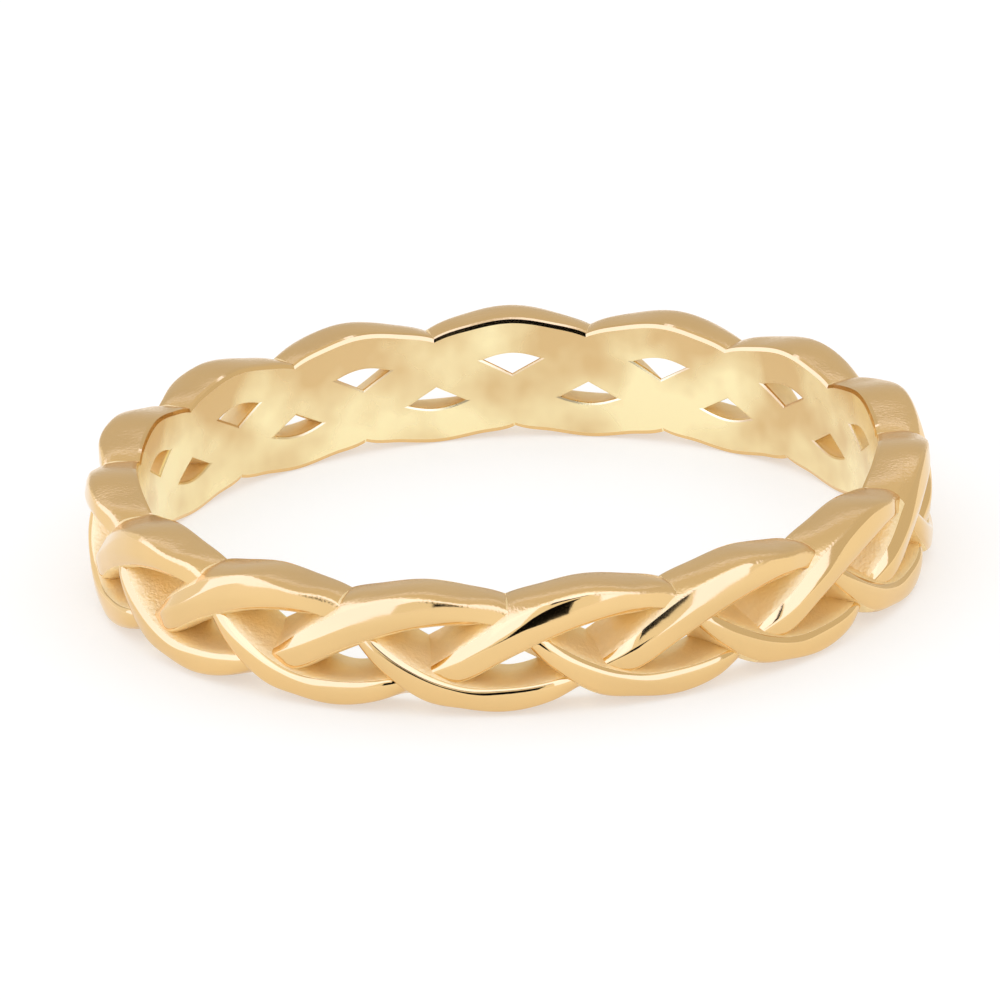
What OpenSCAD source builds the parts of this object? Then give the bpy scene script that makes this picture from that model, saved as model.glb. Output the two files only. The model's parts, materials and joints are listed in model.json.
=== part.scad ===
// Braided band ring: three flattened strands plaited into an endless pierced band, cast in one piece.
// The ring lies on its side: its axis is +Z, and its lowest lobes touch the plane z = 0.

/* [Finger hole] */
// Diameter of the finger hole
bore_d = 17.3; // [14:0.1:23]
// Bevel that breaks the edges of the finger hole and of the piercings
edge_break = 0.06; // [0.03:0.01:0.1]

/* [Band] */
// Height of the band, from its lowest lobe to its highest
band_h = 3.0; // [2.6:0.1:4]
// Thickness of the band, from the finger hole to the crown of a strand
band_t = 1.27; // [1:0.01:1.8]

/* [Plait] */
// Waves that each strand makes round the ring
waves = 5; // [4:1:7]
// Width of a strand at the crest of its wave
strand_w = 0.82; // [0.7:0.01:0.9]
// Angle of a valley of the upper edge from the front of the ring
plait_turn = -1.45; // [-36:0.05:36]

/* [Hidden] */
strands = 3;
bore_r = bore_d / 2;
// Sections of a strand in each of its waves
wave_steps = 22;
// The swept strands reach this far inside the finger hole before it is bored through them
bore_inset = 0.3;
bore_overrun = 1;
// Height of a strand's centre line above and below the middle of the band at its crests
swing = (band_h - strand_w) / 2;
// Wave angles at which a strand is at its crest, and at which it rises through a valley
crest_phase = 90;
valley_phase = 30;

// One side of a strand's section, a row for each twelfth of the strand's wave. Half heights are
// shares of the strand's width.
ROOT = 0; // half height at the finger hole
WALL = 1; // half height where the side wall ends
FACE = 2; // half height of the outer face
SHOULDER = 3; // height of the shoulder between wall and face, as a share of the crown's height
LIP = 4; // height of the face's edge, as a share of the crown's height
BEVEL = 5; // bevel at the finger hole, as a multiple of the edge break
// The side that makes the band's upper edge, from the middle of the band over a crest and back
top_rows = [
    [0.76, 0.48, 0.02, 0.83, 0.945, 1.4],
    [0.72, 0.64, -0.05, 0.82, 0.972, 1.9],
    [0.52, 0.53, 0.15, 0.87, 0.945, 1.9],
    [0.50, 0.54, 0.32, 0.87, 0.945, 1.9],
    [0.54, 0.56, 0.41, 0.86, 0.985, 1.9],
    [0.73, 0.77, 0.57, 0.84, 0.960, 1.6],
];
// The side that makes the band's lower edge, from the middle of the band over a crest and back
bottom_rows = [
    [0.76, 0.56, 0.40, 0.80, 0.940, 1.4],
    [0.84, 0.78, 0.58, 0.84, 0.950, 1.9],
    [0.55, 0.54, 0.38, 0.86, 0.960, 1.9],
    [0.50, 0.46, 0.31, 0.86, 0.970, 1.9],
    [0.55, 0.42, 0.25, 0.86, 0.960, 1.9],
    [0.82, 0.48, 0.24, 0.84, 0.950, 1.6],
];
// The side towards a piercing, above a strand's lower crests: a flat ramp behind a crisp edge
ramp_rows = [
    [0.76, 0.54, 0.24, 0.80, 0.940, 1.0],
    [0.80, 0.43, 0.13, 0.82, 0.960, 1.0],
    [0.69, 0.42, 0.17, 0.84, 0.980, 1.0],
    [0.57, 0.49, 0.31, 0.86, 0.980, 1.0],
    [0.66, 0.45, 0.26, 0.84, 0.980, 1.0],
    [0.78, 0.20, 0.03, 0.80, 0.950, 1.0],
];
// The side towards a piercing, below a strand's upper crests: full and square
full_rows = [
    [0.77, 0.90, 0.70, 0.86, 0.950, 1.0],
    [0.81, 0.93, 0.69, 0.88, 0.950, 1.0],
    [0.69, 0.86, 0.62, 0.88, 0.950, 1.0],
    [0.57, 0.65, 0.44, 0.86, 0.950, 1.0],
    [0.66, 0.40, 0.16, 0.82, 0.950, 1.0],
    [0.78, 0.08, -0.12, 0.80, 0.950, 1.0],
];
upper_rows = concat(top_rows, ramp_rows);
lower_rows = concat(full_rows, bottom_rows);
// Height of the crown round the wave as a share of the band's thickness: a strand sinks where it
// dives under the next one
crown_row = [
    0.96, 0.99, 1, 1, 0.94, 0.78,
    0.96, 0.98, 0.97, 0.96, 0.93, 0.78
];
// Height of the face's ridge above the strand's centre line, as a share of the strand's width
ridge_row = [
    -0.12, -0.19, -0.27, -0.16, -0.04, 0,
    0, 0, 0, 0, 0, -0.06
];
// Height of the wall's end, as a share of the crown's height
wall_rise = 0.62;
// How far the shoulder stands out from the face's edge towards the wall
shoulder_bulge = 0.6;

// Value at a share of the way through a list that runs on from its end to its start: a smooth
// curve through the values
function along(values, share) =
    let (n = len(values), t = share * n, i = floor(t), f = t - i,
         v = [for (j = [-1:2]) values[(i + j + n) % n]])
    v[1] + f / 2 * (v[2] - v[0]
        + f * (2 * v[0] - 5 * v[1] + 4 * v[2] - v[3]
        + f * (3 * (v[1] - v[2]) + v[3] - v[0])));

// Points of one side of a section, from inside the finger hole to the face's edge. Each is its
// height above the finger hole's wall and its distance from the strand's centre line.
function side(rows, phase, crown) =
    let (at = [for (column = [ROOT:BEVEL]) along([for (row = rows) row[column]], phase / 360)],
         root = strand_w * at[ROOT], wall = strand_w * at[WALL], face = strand_w * at[FACE],
         bevel = edge_break * at[BEVEL])
    [[-bore_inset, root - bevel - bore_inset],
     [bevel, root],
     [wall_rise * crown, wall],
     [at[SHOULDER] * crown, face + shoulder_bulge * (wall - face)],
     [at[LIP] * crown, face]];

function section(phase) =
    let (crown = band_t * along(crown_row, phase / 360),
         ridge = strand_w * along(ridge_row, phase / 360),
         lower = side(lower_rows, phase, crown), upper = side(upper_rows, phase, crown))
    concat([for (p = lower) [p[0], -p[1]]],
           [[crown, ridge]],
           [for (i = [len(upper) - 1:-1:0]) upper[i]]);

// One strand, swept round the ring in a closed wave
module strand(number) {
    steps = waves * wave_steps;
    rings = [for (i = [0:steps - 1])
        let (phase = crest_phase + i * 360 / wave_steps,
             turn = plait_turn + (phase - valley_phase - number * 360 / strands) / waves,
             centre = band_h / 2 + swing * sin(phase))
        [for (p = section(phase % 360))
            [(bore_r + p[0]) * sin(turn), -(bore_r + p[0]) * cos(turn), centre + p[1]]]];
    n = len(rings[0]);
    faces = [for (i = [0:steps - 1]) for (j = [0:n - 1])
        let (here = i * n, next = (i + 1) % steps * n, k = (j + 1) % n)
        each [[here + j, here + k, next + k], [here + j, next + k, next + j]]];
    polyhedron([for (ring = rings) each ring], faces);
}

module finger_hole() {
    translate([0, 0, -bore_overrun])
        cylinder(r = bore_r, h = band_h + 2 * bore_overrun, $fn = 180);
}

module braided_band() {
    color("goldenrod")
    difference() {
        union() {
            for (number = [0:strands - 1]) strand(number);
        }
        finger_hole();
    }
}

braided_band();
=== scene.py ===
"""Braided band ring: the cast plait, its four finishes of pale gold and a white studio."""

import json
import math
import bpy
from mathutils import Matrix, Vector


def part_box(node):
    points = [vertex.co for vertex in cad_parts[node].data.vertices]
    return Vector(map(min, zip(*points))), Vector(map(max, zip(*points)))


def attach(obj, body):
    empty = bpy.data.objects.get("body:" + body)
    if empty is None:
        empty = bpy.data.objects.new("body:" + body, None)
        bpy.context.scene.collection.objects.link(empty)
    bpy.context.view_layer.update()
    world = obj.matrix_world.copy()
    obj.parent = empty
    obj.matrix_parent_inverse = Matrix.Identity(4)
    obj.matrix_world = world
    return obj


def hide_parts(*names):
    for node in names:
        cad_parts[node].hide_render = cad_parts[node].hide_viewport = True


bl_info = {
    "name": "Braided Band Ring",
    "version": (1, 0, 0),
    "blender": (4, 5, 0),
    "location": "View3D > Sidebar > Braided Ring",
    "description": "Models and finishes a cast ring of three plaited strands, with its studio",
    "category": "Add Mesh",
}

import bpy
from bpy.props import FloatProperty, FloatVectorProperty, IntProperty, PointerProperty
from bpy.types import Operator, Panel, PropertyGroup
from mathutils import Matrix, Vector

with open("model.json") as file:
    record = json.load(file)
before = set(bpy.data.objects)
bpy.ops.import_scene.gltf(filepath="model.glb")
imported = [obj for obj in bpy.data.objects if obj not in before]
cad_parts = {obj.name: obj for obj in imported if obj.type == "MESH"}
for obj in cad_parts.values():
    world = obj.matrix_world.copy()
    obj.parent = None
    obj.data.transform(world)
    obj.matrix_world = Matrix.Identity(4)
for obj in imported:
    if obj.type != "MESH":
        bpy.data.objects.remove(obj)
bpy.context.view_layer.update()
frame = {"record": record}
NODE = "braided_band"
BAND_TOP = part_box(NODE)[1][2]
BORE = frame["record"]["mounts"][0]

STRANDS = 3
MM = 0.001
# Places in a strand's wave, as shares of it: its upper crest, and where it rises through a valley
CREST_PHASE, VALLEY_PHASE = 0.25, 1 / 12

# One side of a strand's section, a row for each twelfth of the strand's wave, in the same shares
# as the ring's solid. Columns: half height at the finger hole, half height at the wall's end and
# half height of the outer face, as shares of the strand's width; heights of the shoulder and of
# the face's edge as shares of the crown's; bevel at the finger hole as a multiple of the edge
# break.
TOP_SIDE = (
    (0.76, 0.48, 0.02, 0.83, 0.945, 1.4),
    (0.72, 0.64, -0.05, 0.82, 0.972, 1.9),
    (0.52, 0.53, 0.15, 0.87, 0.945, 1.9),
    (0.50, 0.54, 0.32, 0.87, 0.945, 1.9),
    (0.54, 0.56, 0.41, 0.86, 0.985, 1.9),
    (0.73, 0.77, 0.57, 0.84, 0.96, 1.6),
)
BOTTOM_SIDE = (
    (0.76, 0.56, 0.40, 0.80, 0.94, 1.4),
    (0.84, 0.78, 0.58, 0.84, 0.95, 1.9),
    (0.55, 0.54, 0.38, 0.86, 0.96, 1.9),
    (0.50, 0.46, 0.31, 0.86, 0.97, 1.9),
    (0.55, 0.42, 0.25, 0.86, 0.96, 1.9),
    (0.82, 0.48, 0.24, 0.84, 0.95, 1.6),
)
RAMP_SIDE = (
    (0.76, 0.54, 0.24, 0.80, 0.94, 1.0),
    (0.80, 0.43, 0.13, 0.82, 0.96, 1.0),
    (0.69, 0.42, 0.17, 0.84, 0.98, 1.0),
    (0.57, 0.49, 0.31, 0.86, 0.98, 1.0),
    (0.66, 0.45, 0.26, 0.84, 0.98, 1.0),
    (0.78, 0.20, 0.03, 0.80, 0.95, 1.0),
)
FULL_SIDE = (
    (0.77, 0.90, 0.70, 0.86, 0.95, 1.0),
    (0.81, 0.93, 0.69, 0.88, 0.95, 1.0),
    (0.69, 0.86, 0.62, 0.88, 0.95, 1.0),
    (0.57, 0.65, 0.44, 0.86, 0.95, 1.0),
    (0.66, 0.40, 0.16, 0.82, 0.95, 1.0),
    (0.78, 0.08, -0.12, 0.80, 0.95, 1.0),
)
UPPER_SIDE = TOP_SIDE + RAMP_SIDE
LOWER_SIDE = FULL_SIDE + BOTTOM_SIDE
# Height of a strand's crown round its wave, as a share of the band's thickness
CROWN = (0.96, 0.99, 1.00, 1.00, 0.94, 0.78, 0.96, 0.98, 0.97, 0.96, 0.93, 0.78)
# Height of the ridge of a strand's face above the strand's middle, as a share of its width
RIDGE = (-0.12, -0.19, -0.27, -0.16, -0.04, 0.0, 0.0, 0.0, 0.0, 0.0, 0.0, -0.06)
# How far the polish rounds a strand's edges round its wave, as multiples of the corner rounding
LOWER_SOFTNESS = (3.0, 3.0, 2.6, 2.4, 2.4, 2.4, 2.4, 2.2, 2.2, 2.4, 2.8, 3.0)
UPPER_SOFTNESS = (1.6, 1.3, 1.2, 1.4, 2.0, 3.0, 4.2, 4.4, 3.4, 2.6, 2.4, 2.0)
# How far the wall's end and the shoulder are rounded, as multiples of the rounding of the face's
# edge, and what the ridge has more than that edge, as a multiple of the corner rounding
WALL_ROUND, SHOULDER_ROUND, RIDGE_ROUND = 6, 1.5, 2
# Height of the wall's end, as a share of the crown's height
WALL_RISE = 0.62
# How far the shoulder stands out from the face's edge towards the wall
SHOULDER_BULGE = 0.60
# Middle of the bevel at the finger hole: its height, and how far it lies behind the wall, as
# shares of the bevel
BEVEL_MIDDLE = (0.30, 0.2)
# How far the strands reach into the bore before it is cut
INSET = 0.0003
BORE_SIDES = 360
# How far past the bore's radius a face still belongs to its wall, and to its bevels, as multiples
# of the edge break
WALL_REACH, BEVEL_REACH = 0.05, 2.2
# Faces that meet at less than this angle are shaded as one
SMOOTH_ANGLE = math.radians(32)

# Finishes of the one gold, in the order of the band's materials
METALS = ("polished_gold", "satin_edge_gold", "cast_gold", "inner_wall_gold")
POLISHED, EDGE, CAST, INNER = range(len(METALS))
# Columns of a strand's grid, counted from its foot: where its bevel ends, and where the slope
# behind its shoulder, the rounding of its face's edge and its face begin
BEVEL_END, SLOPE, LIP, FACE = 3, 9, 10, 12
# Places in the wave where a half of a strand makes the band's edge: from, its crest and to
EDGE_FROM, EDGE_CREST, EDGE_TO = 7 / 12, 9 / 12, 11 / 12
# Place in the wave from which the slope of an upper half is polished
SLOPE_FROM = 5 / 12
# Unevenness of each finish, in layers of noise: how many to the metre, height and strength
POLISHED_GRAIN = ((900, 0.00004, 0.10), (9000, 0.000004, 0.1))
EDGE_GRAIN = ((900, 0.00004, 0.10), (14000, 0.00002, 0.4))
CAST_GRAIN = ((1200, 0.00005, 0.4), (12000, 0.00003, 0.5))
INNER_GRAIN = ((900, 0.00004, 0.12), (9000, 0.000004, 0.1))

# Tints of the cards that are brighter than the surround, and of the others
COOL = (0.95, 1.05, 1.6)
WARM = (1.0, 0.95, 0.87)
# Name, bearing and elevation in degrees, distance, width and height, brightness
CARDS = (
    ("light_card_front", 0, 53, 0.28, (0.56, 0.12), 1.6),
    ("light_card_left", -78, 26, 0.30, (0.54, 0.36), 1.5),
    ("light_card_right", 42, 22, 0.30, (0.22, 0.34), 1.5),
    ("light_strip_back", 180, 52, 0.22, (0.30, 0.012), 1.5),
    ("dark_card_front", -5, 12, 0.20, (0.093, 0.10), 0.0),
    ("dark_card_high", 0, 38.5, 0.20, (0.08, 0.016), 0.0),
    ("grey_card_right", 106, 24, 0.31, (0.50, 0.42), 0.73),
    ("grey_card_back", 180, 27, 0.33, (0.52, 0.42), 0.68),
    ("grey_card_top", 180, 78, 0.30, (0.50, 0.28), 0.78),
)
# The camera aims this far above the band's middle
AIM_RISE = 0.00118
# It then moves left and down by this much, in pixels of a picture of this width
SHIFT_LEFT, SHIFT_DOWN, PICTURE_WIDTH = 7.70, 41.018, 1000


class RingShape(PropertyGroup):
    """Sizes of the ring, which start at those of its solid"""

    bore_radius: FloatProperty(
        name="Finger Hole Radius", description="Radius of the round inner wall",
        default=BORE["dims"]["r_mm"] * MM, unit="LENGTH", precision=5)
    height: FloatProperty(
        name="Band Height", description="From the lowest lobe to the highest",
        default=0.003, unit="LENGTH", precision=5)
    thickness: FloatProperty(
        name="Band Thickness", description="From the finger hole to the crown of a strand",
        default=0.00127, unit="LENGTH", precision=5)
    strand_width: FloatProperty(
        name="Strand Width", description="Width of a strand at the crest of its wave",
        default=0.00082, unit="LENGTH", precision=5)
    waves: IntProperty(
        name="Waves", description="Waves that each strand makes round the ring", default=5, min=3)
    turn: FloatProperty(
        name="Plait Turn", description="Angle of a valley of the upper edge from the front",
        default=math.radians(-1.45), subtype="ANGLE")
    edge_break: FloatProperty(
        name="Edge Break", description="Bevel along the finger hole and the piercings",
        default=0.00006, unit="LENGTH", precision=6)
    corner_round: FloatProperty(
        name="Corner Rounding", description="How far the polish rounds a strand's crispest edges",
        default=0.00003, unit="LENGTH", precision=6)
    stations: IntProperty(
        name="Stations", description="Sections of a strand round the ring", default=720, min=60)


class RingFinish(PropertyGroup):
    """Colour and polish of the metal"""

    gold: FloatVectorProperty(
        name="Gold", description="Colour of the polished faces",
        default=(0.86, 0.59, 0.27), subtype="COLOR", min=0, max=1)
    # Painted light: this colour is paler than the polished gold so that the inner wall looks as
    # bright as if it mirrored a lit floor
    satin: FloatVectorProperty(
        name="Inner Wall Gold", description="Paler colour of the inner wall",
        default=(1.0, 0.87, 0.51), subtype="COLOR", min=0, max=1)
    # Painted shade and painted reflections: the inner wall's darker clouds, and its darkening
    # towards the top, take this colour
    inner_shade: FloatVectorProperty(
        name="Inner Wall Shade", description="Deeper colour of the patches on the inner wall",
        default=(0.74, 0.52, 0.25), subtype="COLOR", min=0, max=1)
    # Partly the matt finish of the cast walls, partly painted light: paler than the polished gold,
    # it lifts the shade in the piercings
    cast: FloatVectorProperty(
        name="Cast Gold", description="Colour of the walls of the piercings",
        default=(0.96, 0.75, 0.39), subtype="COLOR", min=0, max=1)
    edge: FloatProperty(
        name="Edge Roughness", description="Roughness of the walls along the band's two edges",
        default=0.21, subtype="FACTOR", min=0, max=1)
    inner: FloatProperty(
        name="Inner Wall Roughness", description="Roughness of the inner wall",
        default=0.28, subtype="FACTOR", min=0, max=1)
    polish: FloatProperty(
        name="Polish", description="Roughness of the polished faces",
        default=0.08, subtype="FACTOR", min=0, max=1)
    recess: FloatProperty(
        name="Recess Roughness", description="Roughness of the cast walls of the piercings",
        default=0.50, subtype="FACTOR", min=0, max=1)


class StudioSettings(PropertyGroup):
    """Light and camera"""

    surround: FloatProperty(
        name="Surround", description="Brightness of the white surround", default=1.0, min=0)
    lens: FloatProperty(
        name="Lens", description="Focal length of the camera in millimetres", default=881.2)
    distance: FloatProperty(
        name="Camera Distance", description="From the camera to the ring's middle",
        default=0.57188, unit="LENGTH")
    elevation: FloatProperty(
        name="Camera Elevation", description="Angle at which the camera looks down",
        default=math.radians(20.496), subtype="ANGLE")
    roll: FloatProperty(
        name="Camera Roll", description="Tilt of the picture's horizon",
        default=math.radians(2.595), subtype="ANGLE")


def along(values, share):
    """Smooth curve through a list of values that runs on from its end to its start"""
    place = share * len(values)
    index = math.floor(place)
    f = place - index
    a, b, c, d = (values[(index + j) % len(values)] for j in (-1, 0, 1, 2))
    return b + f / 2 * (c - a + f * (2 * a - 5 * b + 4 * c - d + f * (3 * (b - c) + d - a)))


def toward(start, end, distance):
    """Point at a distance from start on the way to end, and never past its middle"""
    length = math.dist(start, end)
    share = min(distance / length, 0.45)
    return tuple(s + (e - s) * share for s, e in zip(start, end))


def rounded(before, corner, after, cut, count):
    """Points of a curve that rounds a corner between its two neighbours"""
    start, end = toward(corner, before, cut), toward(corner, after, cut)
    points = []
    for i in range(count):
        t = i / (count - 1)
        points.append(tuple(
            (1 - t) ** 2 * s + 2 * t * (1 - t) * c + t * t * e
            for s, c, e in zip(start, corner, end)))
    return points


def side_corners(rows, phase, crown, shape):
    """Corners of one side of a section: height above the finger hole, distance from the middle"""
    root, wall, face, shoulder, lip, bevel = (
        along([row[i] for row in rows], phase) for i in range(6))
    width, edge = shape.strand_width, bevel * shape.edge_break
    root, wall, face = root * width, wall * width, face * width
    return [
        (-INSET, root - edge - INSET),
        (0.0, root - edge),
        (BEVEL_MIDDLE[0] * edge, root - BEVEL_MIDDLE[1] * edge),
        (edge, root),
        (WALL_RISE * crown, wall),
        (shoulder * crown, face + SHOULDER_BULGE * (wall - face)),
        (lip * crown, face),
    ]


def section(phase, shape):
    """A strand's section at a share of its wave, from its lower to its upper foot"""
    crown = shape.thickness * along(CROWN, phase)
    lower = [(r, -h) for r, h in side_corners(LOWER_SIDE, phase, crown, shape)]
    upper = side_corners(UPPER_SIDE, phase, crown, shape)
    ridge = (crown, shape.strand_width * along(RIDGE, phase))
    halves = []
    for side, softness in ((lower, LOWER_SOFTNESS), (upper, UPPER_SOFTNESS)):
        soft = shape.corner_round * along(softness, phase)
        halves.append(
            side[:4]
            + rounded(side[3], side[4], side[5], WALL_ROUND * soft, 3)
            + rounded(side[4], side[5], side[6], SHOULDER_ROUND * soft, 3)
            + rounded(side[5], side[6], ridge, soft, 3))
    # The ridge is as soft as the upper half
    crest = rounded(lower[6], ridge, upper[6], soft + RIDGE_ROUND * shape.corner_round, 5)
    return halves[0] + crest + halves[1][::-1]


def metal_at(phase, column, count):
    """Finish of a face of a strand's grid, by its place in the wave and in the section"""
    upper = column > count / 2
    if upper:
        column = count - 2 - column
        phase = (phase + 0.5) % 1
    on_the_edge = EDGE_FROM < phase < EDGE_TO
    if upper and on_the_edge and phase > EDGE_CREST:
        polished_from = FACE
    elif on_the_edge or upper and phase >= SLOPE_FROM:
        polished_from = SLOPE
    else:
        polished_from = LIP
    # The bevels of the piercings take the inner wall's finish, whose paler colour is painted light
    if column < BEVEL_END:
        return POLISHED if on_the_edge else INNER
    if column >= polished_from:
        return POLISHED
    return EDGE if on_the_edge else CAST


def only(*chosen):
    """Selects these objects alone and makes the first the active one"""
    bpy.ops.object.select_all(action="DESELECT")
    for item in chosen:
        item.select_set(True)
    bpy.context.view_layer.objects.active = chosen[0]


def strand(number, shape):
    """One strand: a grid rolled into a closed tube, through the sections of the plait"""
    steps = [i + 0.5 for i in range(shape.stations)]
    phases = [CREST_PHASE + step * shape.waves / shape.stations for step in steps]
    sections = [section(phase % 1, shape) for phase in phases]
    count = len(sections[0])
    bpy.ops.object.select_all(action="DESELECT")
    bpy.ops.mesh.primitive_grid_add(
        x_subdivisions=count, y_subdivisions=shape.stations, size=shape.height)
    piece = bpy.context.object
    piece.name = f"strand_{number + 1}"
    swing = (shape.height - shape.strand_width) / 2
    rings = []
    for phase, points in zip(phases, sections):
        turn = shape.turn + (phase - VALLEY_PHASE - number / STRANDS) * math.tau / shape.waves
        middle = shape.height / 2 + swing * math.sin(math.tau * phase)
        ring = []
        for rise, offset in points + points[:1]:
            radius = shape.bore_radius + rise
            ring += (radius * math.sin(turn), -radius * math.cos(turn), middle + offset)
        rings.append(ring)
    rings.append(rings[0])
    piece.data.vertices.foreach_set("co", [value for ring in rings for value in ring])
    for name in METALS:
        piece.data.materials.append(bpy.data.materials.get(name) or bpy.data.materials.new(name))
    for face in piece.data.polygons:
        row, column = divmod(min(face.vertices), count + 1)
        face.material_index = metal_at(phases[row] % 1, column, count)
    bpy.ops.object.mode_set(mode="EDIT")
    bpy.ops.mesh.select_all(action="SELECT")
    bpy.ops.mesh.remove_doubles(threshold=1e-8)
    bpy.ops.mesh.normals_make_consistent(inside=False)
    bpy.ops.object.mode_set(mode="OBJECT")
    if len(piece.data.vertices) != count * shape.stations:
        raise RuntimeError(f"{piece.name} did not close")
    return piece


def apply_boolean(piece, other, operation):
    """Adds or takes away the other object, which is then deleted"""
    only(piece)
    boolean = piece.modifiers.new(operation.title(), "BOOLEAN")
    boolean.operation = operation
    boolean.object = other
    boolean.solver = "MANIFOLD"
    bpy.ops.object.modifier_apply(modifier=boolean.name)
    only(other)
    bpy.ops.object.delete()


def round_the_bore(piece, shape):
    """Shades the inner wall as a true cylinder and its bevels flat, and keeps every other normal"""
    mesh = piece.data
    normals = [Vector(n.vector) for n in mesh.corner_normals]
    wall = shape.bore_radius + WALL_REACH * shape.edge_break
    bevel = shape.bore_radius + BEVEL_REACH * shape.edge_break
    for face in mesh.polygons:
        farthest = max(math.hypot(*mesh.vertices[v].co[:2]) for v in face.vertices)
        for loop in face.loop_indices if farthest < bevel else ():
            x, y, _ = mesh.vertices[mesh.loops[loop].vertex_index].co
            normals[loop] = Vector((-x, -y, 0)).normalized() if farthest < wall else face.normal
    mesh.normals_split_custom_set([tuple(n) for n in normals])


class RING_OT_band(Operator):
    """Model the band: three strands cast together and bored for the finger"""

    bl_idname = "ring.band"
    bl_label = "Braided Band"

    def execute(self, context):
        shape = context.scene.ring_shape
        band = strand(0, shape)
        for number in range(1, STRANDS):
            apply_boolean(band, strand(number, shape), "UNION")
        bpy.ops.object.select_all(action="DESELECT")
        bpy.ops.mesh.primitive_cylinder_add(
            vertices=BORE_SIDES, radius=shape.bore_radius, depth=3 * shape.height,
            location=(0, 0, shape.height / 2))
        for name in METALS:
            context.object.data.materials.append(bpy.data.materials[name])
        for face in context.object.data.polygons:
            face.material_index = INNER
        apply_boolean(band, context.object, "DIFFERENCE")
        band.name = band.data.name = "plaited_band"
        only(band)
        bpy.ops.object.shade_smooth_by_angle(angle=SMOOTH_ANGLE)
        if not band.data.polygons:
            raise RuntimeError("the strands made no band")
        round_the_bore(band, shape)
        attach(band, "root")
        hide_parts(NODE)
        return {"FINISHED"}


class Nodes:
    """Short way to add and join the nodes of a material"""

    def __init__(self, material):
        material.use_nodes = True
        self.tree = material.node_tree
        self.shader = self.tree.nodes["Principled BSDF"]

    def add(self, kind, inputs=(), **settings):
        node = self.tree.nodes.new("ShaderNode" + kind)
        for name, value in settings.items():
            setattr(node, name, value)
        for name, value in dict(inputs).items():
            if isinstance(value, bpy.types.NodeSocket):
                self.tree.links.new(value, node.inputs[name])
            else:
                node.inputs[name].default_value = value
        return node

    def shade(self, **inputs):
        for name, value in inputs.items():
            socket = self.shader.inputs[name.replace("_", " ")]
            if isinstance(value, bpy.types.NodeSocket):
                self.tree.links.new(value, socket)
            else:
                socket.default_value = value


def stops(node, *values):
    """Sets a colour ramp's stops, each a position and a colour or grey"""
    ramp = node.color_ramp
    while len(ramp.elements) < len(values):
        ramp.elements.new(0.5)
    for element, (position, value) in zip(ramp.elements, values):
        element.position = position
        element.color = (*value, 1) if isinstance(value, tuple) else (value, value, value, 1)
    return node.outputs["Color"]


def bumps(nodes, place, *layers):
    """Bump nodes in a row, a layer of noise each: how many to the metre, height and strength"""
    normal = {}
    for scale, height, strength in layers:
        noise = nodes.add("TexNoise", {"Vector": place, "Scale": scale, "Detail": 2})
        bump = nodes.add("Bump", {
            "Height": noise.outputs["Fac"], "Distance": height, "Strength": strength,
            **normal})
        normal = {"Normal": bump.outputs["Normal"]}
    return bump.outputs["Normal"]


def gold_finish(metal, scale, spread, tones, grains, metallic, roughness, shade=0.0):
    """A gold whose two tones run into each other in soft clouds, with fine bumps, and which may
    take on more of its first tone towards the top, as painted shade"""
    nodes = Nodes(bpy.data.materials[METALS[metal]])
    place = nodes.add("TexCoord").outputs["Object"]
    clouds = nodes.add("TexNoise", {
        "Vector": place, "Scale": scale, "Detail": 3, "Roughness": 0.45})
    rise = nodes.add("SeparateXYZ", {"Vector": place}).outputs["Z"]
    top_shade = nodes.add("MapRange", {
        # Painted shade: the first, darker tone grows towards the top
        "Value": rise, "From Min": 0.25 * BAND_TOP, "From Max": BAND_TOP,
        "To Min": 0.4 * shade, "To Max": -shade}).outputs["Result"]
    mixed = nodes.add("Math", {0: clouds.outputs["Fac"], 1: top_shade}, operation="ADD").outputs[0]
    tone = stops(nodes.add("ValToRGB", {"Fac": mixed}),
                 (0.5 - spread, tuple(tones[0])), (0.5 + spread, tuple(tones[1])))
    rough = nodes.add("MapRange", {
        "Value": clouds.outputs["Fac"], "From Min": 0.3, "From Max": 0.7,
        "To Min": 1.15 * roughness, "To Max": 0.85 * roughness}).outputs["Result"]
    nodes.shade(
        Base_Color=tone, Metallic=metallic, Roughness=rough, Normal=bumps(nodes, place, *grains))


def darker(colour, share):
    """This colour at a share of its brightness"""
    return tuple(share * value for value in colour)


class RING_OT_finish(Operator):
    """Give the band its finishes: polished, satin on its edges, cast and on the inner wall"""

    bl_idname = "ring.finish"
    bl_label = "Polished Gold"

    def execute(self, context):
        finish = context.scene.ring_finish
        gold = darker(finish.gold, 0.94), finish.gold
        cast = darker(finish.cast, 0.92), finish.cast
        # The inner wall's darker clouds are painted reflections, its darker top is painted shade
        # and its paler gold is painted light
        wall = finish.inner_shade, finish.satin
        gold_finish(POLISHED, 380, 0.15, gold, POLISHED_GRAIN, 1.0, finish.polish)
        gold_finish(EDGE, 500, 0.15, gold, EDGE_GRAIN, 1.0, finish.edge)
        # The cast walls' paler colour is partly painted light that lifts their shade
        gold_finish(CAST, 1500, 0.15, cast, CAST_GRAIN, 0.7, finish.recess)
        gold_finish(INNER, 430, 0.12, wall, INNER_GRAIN, 1.0, finish.inner, shade=0.14)
        return {"FINISHED"}


def plain_material(name, colour, light=0.0, tint=(1, 1, 1)):
    """A matt material, or one that only glows"""
    material = bpy.data.materials.new(name)
    nodes = Nodes(material)
    nodes.shade(
        Base_Color=(colour, colour, colour, 1), Roughness=0.9, Specular_IOR_Level=0.1,
        Emission_Color=(*tint, 1), Emission_Strength=light)
    return material


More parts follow.
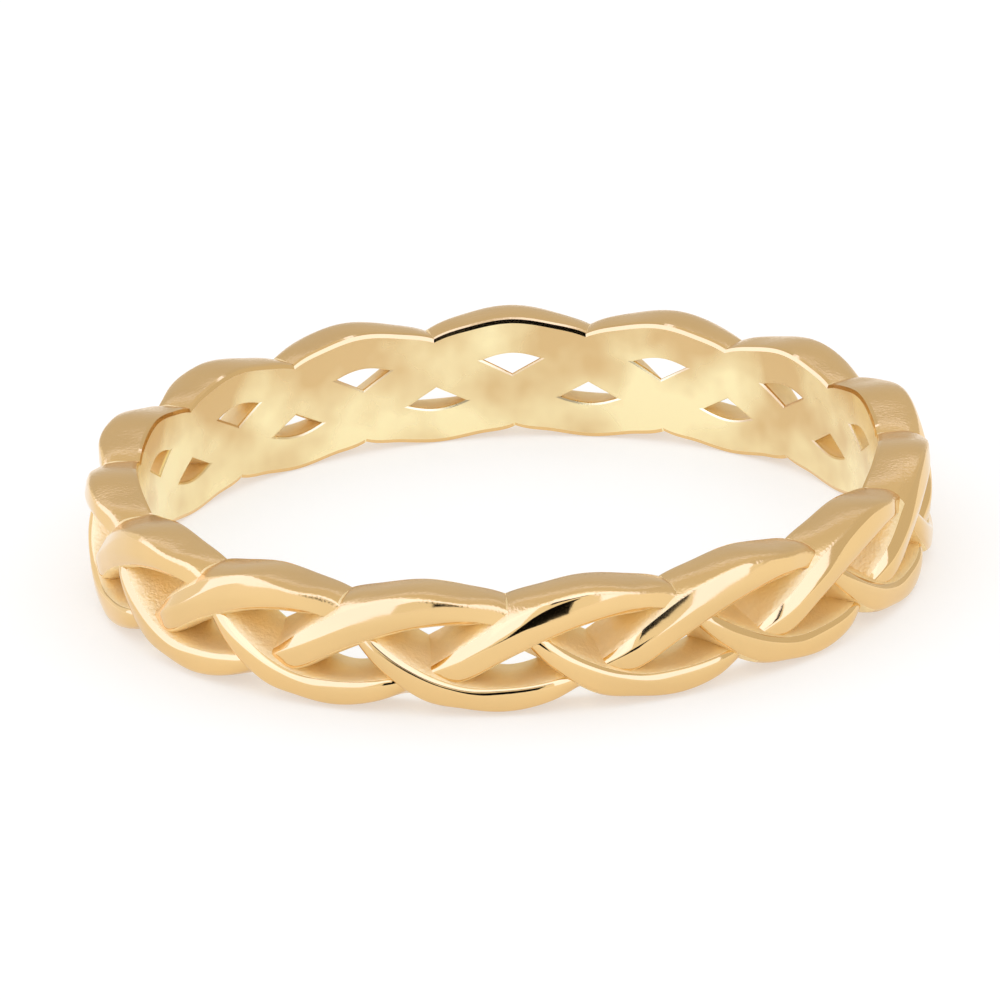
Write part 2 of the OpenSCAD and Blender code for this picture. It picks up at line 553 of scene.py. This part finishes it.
def card(name, bearing, elevation, distance, size, brightness):
    """A card that the metal mirrors and the camera never sees, facing the ring"""
    bearing, elevation = math.radians(bearing), math.radians(elevation)
    place = distance * Vector((
        math.sin(bearing) * math.cos(elevation),
        -math.cos(bearing) * math.cos(elevation),
        math.sin(elevation)))
    bpy.ops.object.select_all(action="DESELECT")
    bpy.ops.mesh.primitive_plane_add(size=1, location=place)
    plane = bpy.context.object
    plane.name = name
    plane.scale = (size[0], size[1], 1)
    plane.rotation_euler = (-place).to_track_quat("Z", "Y").to_euler()
    tint = COOL if brightness > 1 else WARM
    plane.data.materials.append(plain_material(name, 0.0, brightness, tint))
    plane.visible_camera = False
    plane.visible_shadow = False
    plane.visible_diffuse = False


class RING_OT_studio(Operator):
    """Set up the white floor, the light and the camera at the photograph's angle"""

    bl_idname = "ring.studio"
    bl_label = "Studio"

    def execute(self, context):
        studio = context.scene.ring_studio
        world = bpy.data.worlds.new("studio_surround")
        world.use_nodes = True
        surround = world.node_tree.nodes["Background"]
        surround.inputs["Color"].default_value = (1, 1, 1, 1)
        surround.inputs["Strength"].default_value = studio.surround
        context.scene.world = world
        context.scene.view_settings.view_transform = "Standard"

        bpy.ops.object.select_all(action="DESELECT")
        bpy.ops.mesh.primitive_plane_add(size=4, location=(0, 0, 0))
        floor = context.object
        floor.name = "studio_floor"
        floor.data.materials.append(plain_material("white_floor", 0.6, 0.45))

        for settings in CARDS:
            card(*settings)
        self.camera(context, studio)
        return {"FINISHED"}

    @staticmethod
    def camera(context, studio):
        """A long lens, aimed and rolled as in the photograph"""
        right = Vector((1, 0, 0))
        ahead = Vector((0, math.cos(studio.elevation), -math.sin(studio.elevation)))
        up = right.cross(ahead)
        across = right * math.cos(studio.roll) - up * math.sin(studio.roll)
        upward = right * math.sin(studio.roll) + up * math.cos(studio.roll)
        middle = Vector((0, 0, context.scene.ring_shape.height / 2 + AIM_RISE))
        data = bpy.data.cameras.new("camera")
        data.lens = studio.lens
        data.sensor_width = 36
        data.clip_start, data.clip_end = 0.02, 10
        # Size of a pixel at the ring's middle
        pixel = data.sensor_width / studio.lens * studio.distance / PICTURE_WIDTH
        eye = (middle - ahead * studio.distance
               - across * SHIFT_LEFT * pixel - upward * SHIFT_DOWN * pixel)
        camera = bpy.data.objects.new("camera", data)
        context.scene.collection.objects.link(camera)
        camera.matrix_world = Matrix.Translation(eye) @ Matrix((
            (across.x, upward.x, -ahead.x),
            (across.y, upward.y, -ahead.y),
            (across.z, upward.z, -ahead.z))).to_4x4()
        context.scene.camera = camera


class RING_PT_panel(Panel):
    """Sidebar panel with the ring's settings and operators"""

    bl_idname = "RING_PT_panel"
    bl_label = "Braided Band Ring"
    bl_space_type = "VIEW_3D"
    bl_region_type = "UI"
    bl_category = "Braided Ring"

    def draw(self, context):
        layout = self.layout
        for settings in (
                context.scene.ring_shape, context.scene.ring_finish, context.scene.ring_studio):
            column = layout.column()
            for name in settings.__annotations__:
                column.prop(settings, name)
        for operator in OPERATORS:
            layout.operator(operator.bl_idname)


SETTINGS = (RingShape, RingFinish, StudioSettings)
OPERATORS = (RING_OT_band, RING_OT_finish, RING_OT_studio)


def register():
    for cls in (*SETTINGS, *OPERATORS, RING_PT_panel):
        bpy.utils.register_class(cls)
    bpy.types.Scene.ring_shape = PointerProperty(type=RingShape)
    bpy.types.Scene.ring_finish = PointerProperty(type=RingFinish)
    bpy.types.Scene.ring_studio = PointerProperty(type=StudioSettings)


def unregister():
    del bpy.types.Scene.ring_studio, bpy.types.Scene.ring_finish, bpy.types.Scene.ring_shape
    for cls in reversed((*SETTINGS, *OPERATORS, RING_PT_panel)):
        bpy.utils.unregister_class(cls)


def main():
    register()
    bpy.ops.ring.band()
    bpy.ops.ring.finish()
    bpy.ops.ring.studio()
    bpy.context.view_layer.update()


if __name__ == "__main__":
    main()
